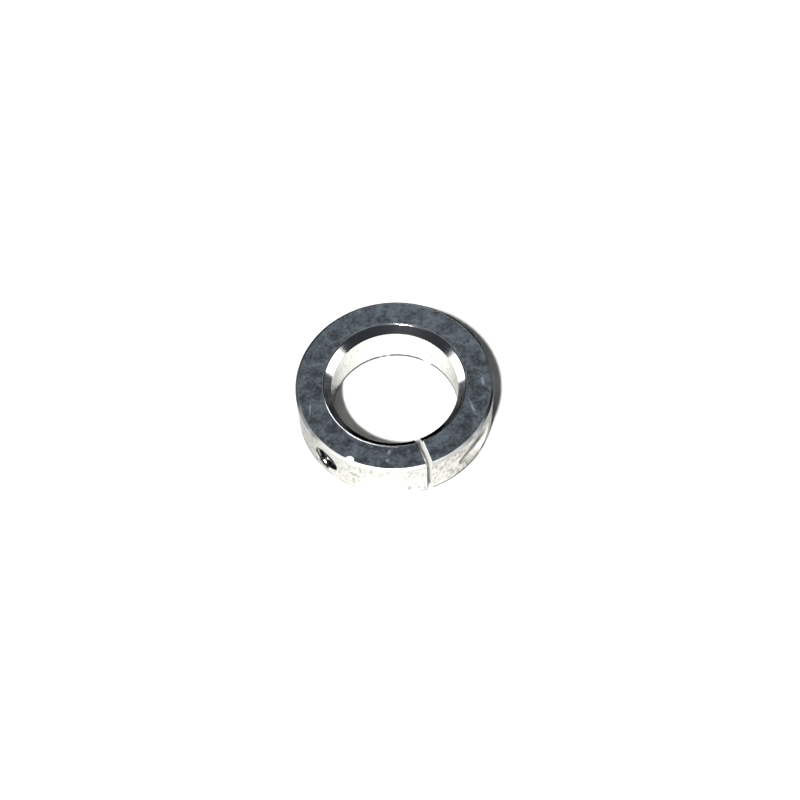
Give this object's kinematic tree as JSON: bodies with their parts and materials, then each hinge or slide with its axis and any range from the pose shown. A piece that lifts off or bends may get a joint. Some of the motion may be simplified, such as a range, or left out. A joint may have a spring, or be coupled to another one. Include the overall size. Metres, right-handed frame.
{
  "type": "shaft collar",
  "caption": "One-piece split shaft collar with a cap screw across its slit and a soft-tipped radial set screw.",
  "frame": {"origin": "centre of the bore, at mid-width", "axes": "+Z along the bore, towards the face with the index dimple; -Y through the slit; the clamp screw's head is on the +X side"},
  "size_m": [0.07, 0.07, 0.018],
  "materials": {
    "collar_steel": "turned and ground, with dark oxide faces",
    "bright_screw": "bright zinc plate",
    "black_screw": "black oxide, satin",
    "tip_plastic": "moulded nylon, matt"
  },
  "bodies": {
    "collar": {"collar_body": "collar_steel"},
    "clamp_screw_body": {"clamp_screw": "bright_screw"},
    "set_screw_carriage": {"set_screw_tip": "tip_plastic"},
    "set_screw_body": {"set_screw": "black_screw"}
  },
  "joints": [
    {"name": "clamp_screw_turn", "type": "hinge", "parent": "collar", "child": "clamp_screw_body", "pos_m": [0, -0.02775, 0], "axis": [-1, 0, 0], "range_deg": [-360, 720]},
    {"name": "set_screw_travel", "type": "slide", "parent": "collar", "child": "set_screw_carriage", "axis": [0.8988, 0.4384, 0], "range_m": [-0.004, 0.005]},
    {"name": "set_screw_turn", "type": "hinge", "parent": "set_screw_carriage", "child": "set_screw_body", "pos_m": [0, 0, 0], "axis": [0.8988, 0.4384, 0], "range_deg": [-960, 1200]}
  ],
  "couplings": [
    {"joint": "set_screw_turn", "follows": "set_screw_travel", "rad_per_m": 4188.8}
  ]
}
